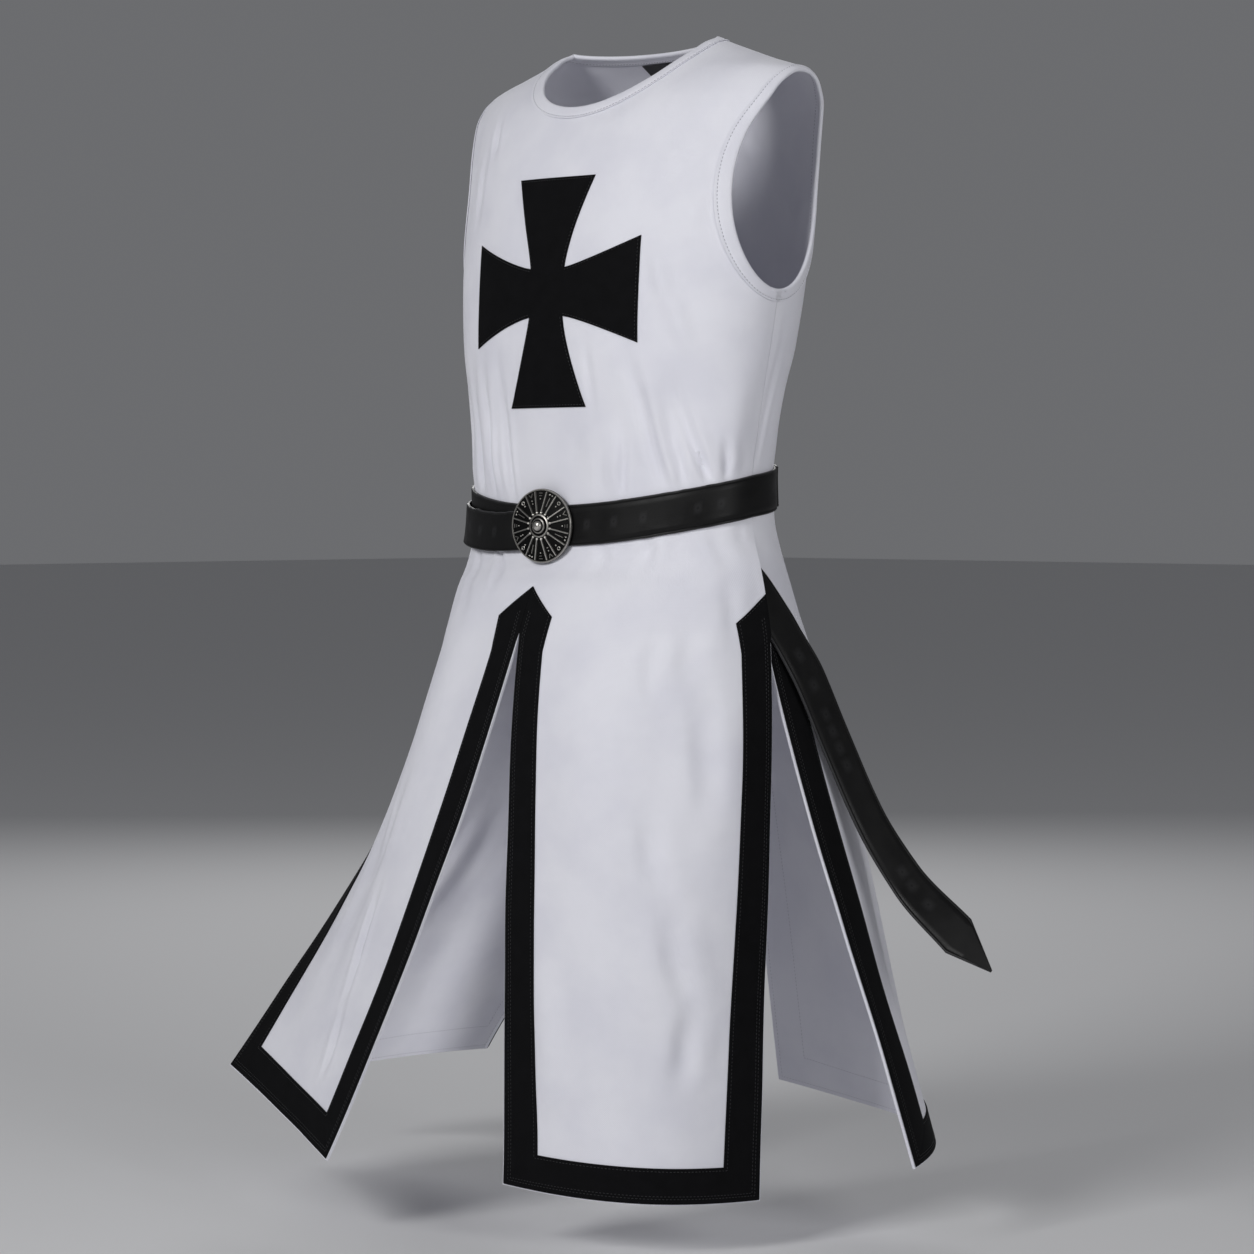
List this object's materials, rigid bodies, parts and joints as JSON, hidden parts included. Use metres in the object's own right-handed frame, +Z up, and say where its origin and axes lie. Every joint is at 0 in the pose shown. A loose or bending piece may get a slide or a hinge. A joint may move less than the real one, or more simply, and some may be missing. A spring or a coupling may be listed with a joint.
{
  "type": "medieval surcoat",
  "caption": "Sleeveless medieval surcoat with a chest cross, bordered skirt panels slit at front, sides and back, and its own leather belt with a round buckle.",
  "frame": {"origin": "between the two shoulder seams, level with their neck ends, where the wearer's shoulders hold the garment", "axes": "+Z up, the garment faces -Y, the wearer's left is +X"},
  "size_m": [0.9067, 0.4761, 1.1196],
  "materials": {
    "white_cloth": "matt cotton twill",
    "black_trim": "matt velvet",
    "label": "woven satin",
    "leather": "semi-gloss black leather with a fine grain",
    "pewter": "antique pewter, dark in the hollows"
  },
  "bodies": {
    "root": {"front": "white_cloth", "back": "white_cloth", "trim_front_left": "black_trim", "trim_front_right": "black_trim", "trim_back_left": "black_trim", "trim_back_right": "black_trim", "neck_binding": "white_cloth", "armhole_binding_left": "white_cloth", "armhole_binding_right": "white_cloth", "cross": "black_trim", "neck_label": "label", "belt": "leather", "belt_wrap": "leather", "belt_tail": "leather", "buckle": "pewter"}
  },
  "joints": []
}
